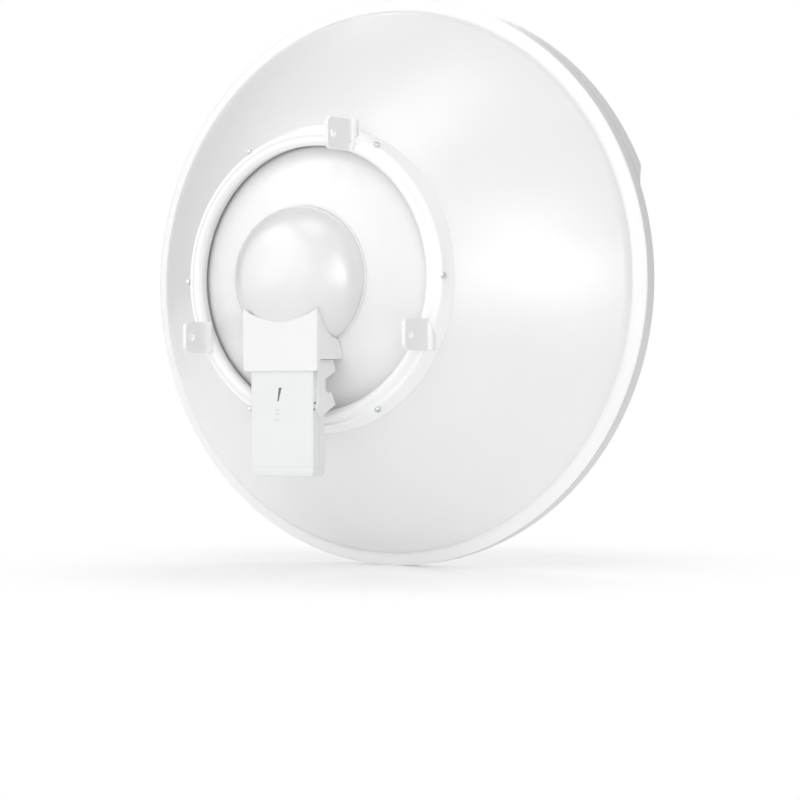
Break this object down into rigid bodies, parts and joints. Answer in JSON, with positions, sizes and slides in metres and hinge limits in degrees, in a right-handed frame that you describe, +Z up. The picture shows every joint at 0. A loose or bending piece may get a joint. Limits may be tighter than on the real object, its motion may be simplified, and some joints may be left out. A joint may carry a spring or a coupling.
{
  "type": "dish antenna",
  "caption": "Deep parabolic dish antenna with rear mounting ring and ears, feed, domed hub cover and a box radio in a cradle.",
  "frame": {"origin": "on the flat right-hand face of the top ear, between its bend and its bolt hole", "axes": "+Y the way the dish looks, +Z up, +X to the right as seen from behind the dish"},
  "size_m": [0.65, 0.284, 0.65],
  "materials": {
    "white_powder_coat": "satin white powder coat on aluminium sheet",
    "white_plastic": "satin moulded white plastic",
    "radio_plastic": "fine-grained moulded plastic, slightly cool white",
    "zinc_steel": "zinc-plated steel"
  },
  "bodies": {
    "root": {"reflector": "white_powder_coat", "edge_band": "white_powder_coat", "upper_strip": "white_powder_coat", "mounting_ring": "white_powder_coat", "ring_screw_1": "zinc_steel", "ring_screw_2": "zinc_steel", "ring_screw_3": "zinc_steel", "ring_screw_4": "zinc_steel", "ring_screw_5": "zinc_steel", "ring_screw_6": "zinc_steel", "top_ear": "white_powder_coat", "left_ear": "white_powder_coat", "right_ear": "white_powder_coat", "rear_dome": "white_plastic", "dome_base_ring": "white_plastic", "cradle_lid": "white_plastic", "cradle_left_wall": "white_plastic", "cradle_right_wall": "white_plastic", "bracket_left_arm": "white_plastic", "bracket_right_arm": "white_plastic", "bracket_web": "white_plastic", "radio_rear_shell": "radio_plastic", "radio_front_shell": "radio_plastic", "radio_port_door": "radio_plastic", "feed_tube": "white_plastic", "feed_collar": "white_plastic", "feed_head": "white_plastic", "feed_screw_1": "zinc_steel", "feed_screw_2": "zinc_steel", "feed_screw_3": "zinc_steel", "feed_screw_4": "zinc_steel"}
  },
  "joints": []
}
